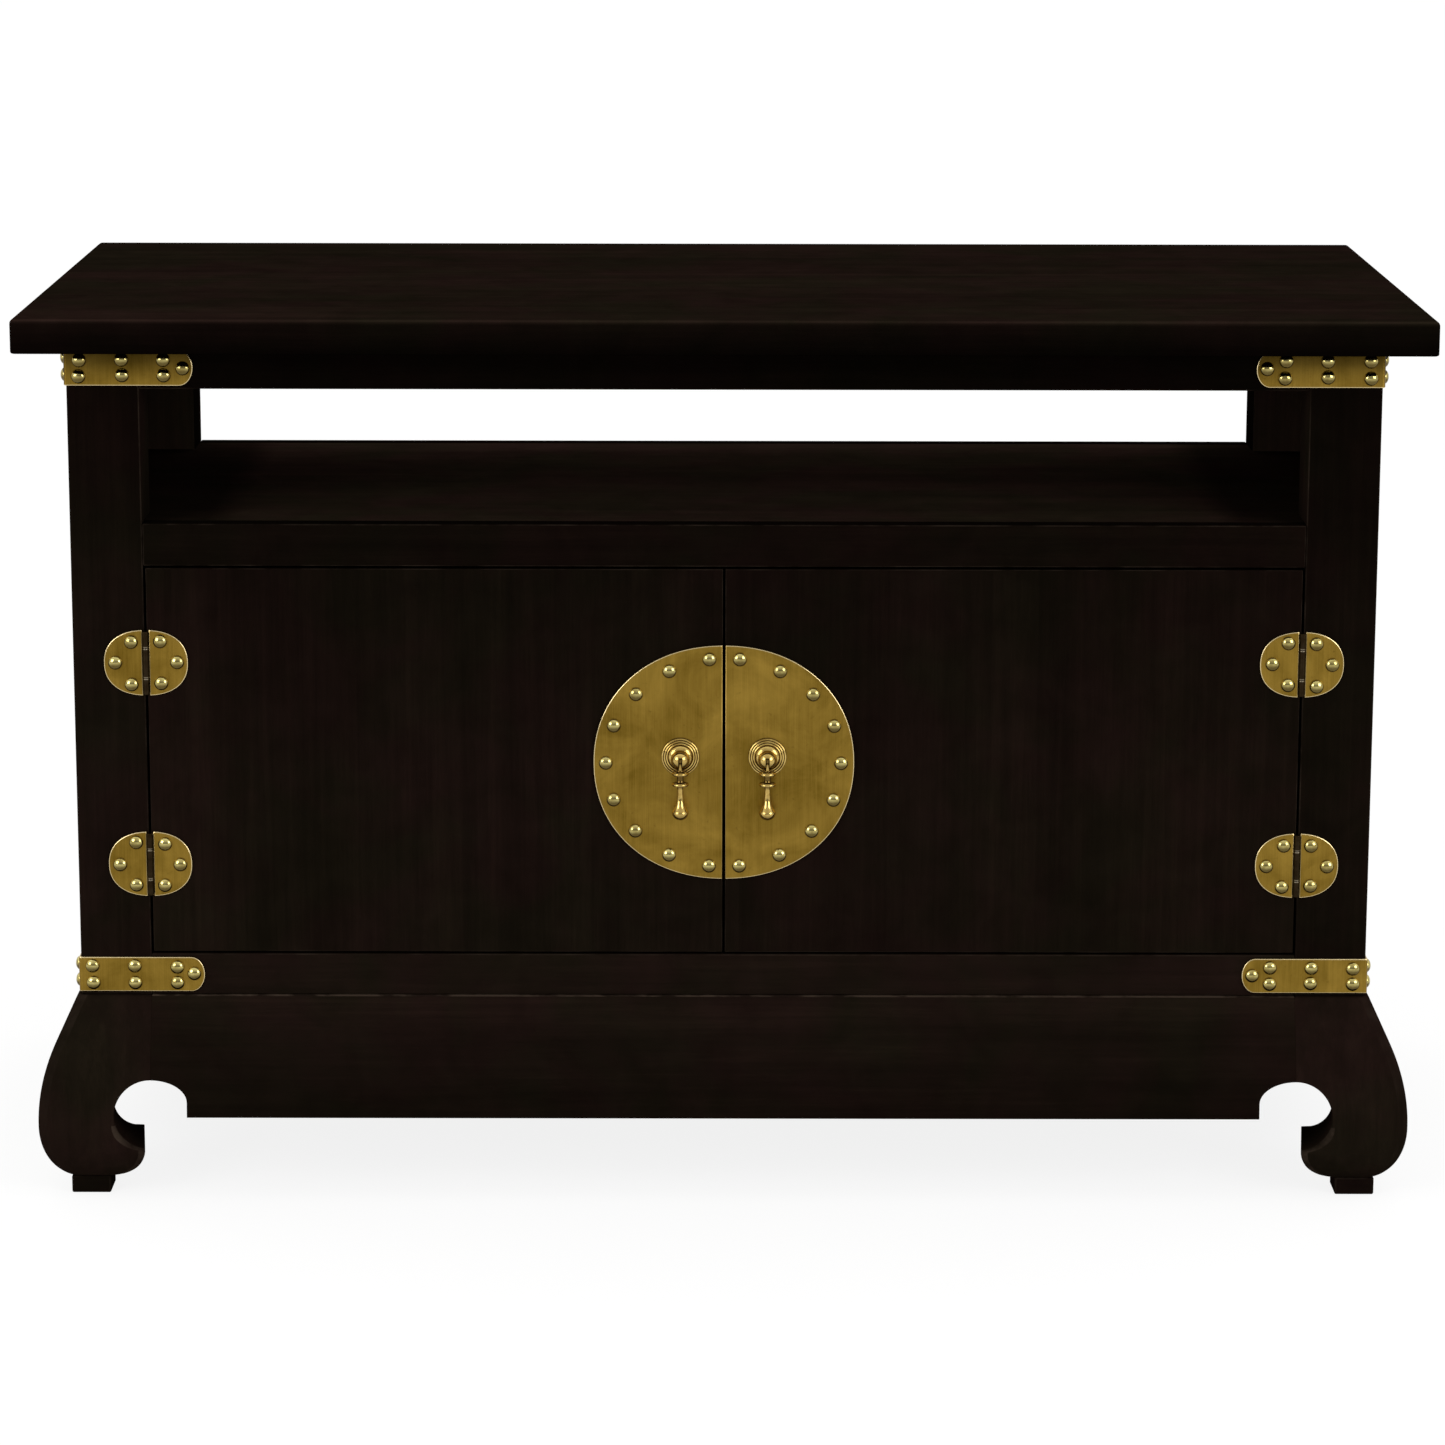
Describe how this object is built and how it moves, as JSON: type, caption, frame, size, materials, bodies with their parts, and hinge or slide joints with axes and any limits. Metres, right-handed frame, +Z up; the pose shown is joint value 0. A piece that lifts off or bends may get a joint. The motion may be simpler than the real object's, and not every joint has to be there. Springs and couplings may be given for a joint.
{
  "type": "tv cabinet",
  "caption": "Low television cabinet with an overhanging top, an open shelf bay, a pair of hinged doors with an oval face plate and drop pulls, and bulging scroll legs.",
  "frame": {"origin": "on the floor, under the middle of the cabinet", "axes": "+X to the viewer's right, -Y out of the front with the doors, +Z up"},
  "size_m": [1.1, 0.55, 0.712],
  "materials": {
    "wood_frame": "dark espresso stain, satin lacquer",
    "wood_inner": "dark espresso stain, satin lacquer",
    "brass_plate": "brushed, lightly aged",
    "brass_polished": "turned and polished",
    "hinge_pin": "darkened"
  },
  "bodies": {
    "cabinet": {"apron_back": "wood_frame", "apron_front": "wood_frame", "apron_left": "wood_frame", "apron_right": "wood_frame", "back_panel": "wood_inner", "bottom_rail_back": "wood_frame", "bottom_rail_front": "wood_frame", "bottom_rail_left": "wood_frame", "bottom_rail_right": "wood_frame", "bracket_bottom_left": "brass_plate", "bracket_bottom_right": "brass_plate", "bracket_top_left": "brass_plate", "bracket_top_right": "brass_plate", "cabinet_floor": "wood_inner", "door_stop": "wood_inner", "foot_pad_back_left": "wood_frame", "foot_pad_back_right": "wood_frame", "foot_pad_front_left": "wood_frame", "foot_pad_front_right": "wood_frame", "hinge_lower_left_pin": "hinge_pin", "hinge_lower_left_post_leaf": "brass_plate", "hinge_lower_right_pin": "hinge_pin", "hinge_lower_right_post_leaf": "brass_plate", "hinge_upper_left_pin": "hinge_pin", "hinge_upper_left_post_leaf": "brass_plate", "hinge_upper_right_pin": "hinge_pin", "hinge_upper_right_post_leaf": "brass_plate", "leg_back_left": "wood_frame", "leg_back_right": "wood_frame", "leg_front_left": "wood_frame", "leg_front_right": "wood_frame", "post_back_left": "wood_frame", "post_back_right": "wood_frame", "post_front_left": "wood_frame", "post_front_right": "wood_frame", "shelf_board": "wood_inner", "shelf_rail_back": "wood_frame", "shelf_rail_front": "wood_frame", "side_panel_left": "wood_frame", "side_panel_right": "wood_frame", "top_panel": "wood_frame", "top_rail_back": "wood_frame", "top_rail_front": "wood_frame", "top_rail_left": "wood_frame", "top_rail_right": "wood_frame"},
    "door_left": {"door_left": "wood_frame", "face_plate_left": "brass_plate", "hinge_lower_left_door_leaf": "brass_plate", "hinge_upper_left_door_leaf": "brass_plate", "pull_pin_left": "brass_polished", "pull_rose_left": "brass_polished"},
    "door_right": {"door_right": "wood_frame", "face_plate_right": "brass_plate", "hinge_lower_right_door_leaf": "brass_plate", "hinge_upper_right_door_leaf": "brass_plate", "pull_pin_right": "brass_polished", "pull_rose_right": "brass_polished"},
    "drop_left": {"pull_drop_left": "brass_polished"},
    "drop_right": {"pull_drop_right": "brass_polished"}
  },
  "joints": [
    {"name": "door_left_hinge", "type": "hinge", "parent": "cabinet", "child": "door_left", "pos_m": [-0.4565, -0.2255, 0.35365], "axis": [0, 0, -1], "range_deg": [0, 140]},
    {"name": "door_right_hinge", "type": "hinge", "parent": "cabinet", "child": "door_right", "pos_m": [0.4565, -0.2255, 0.35365], "axis": [0, 0, 1], "range_deg": [0, 140]},
    {"name": "drop_left_swing", "type": "hinge", "parent": "door_left", "child": "drop_left", "pos_m": [-0.0345, -0.2368, 0.35865], "axis": [-1, 0, 0], "range_deg": [-4, 90]},
    {"name": "drop_right_swing", "type": "hinge", "parent": "door_right", "child": "drop_right", "pos_m": [0.0345, -0.2368, 0.35865], "axis": [-1, 0, 0], "range_deg": [-4, 90]}
  ]
}
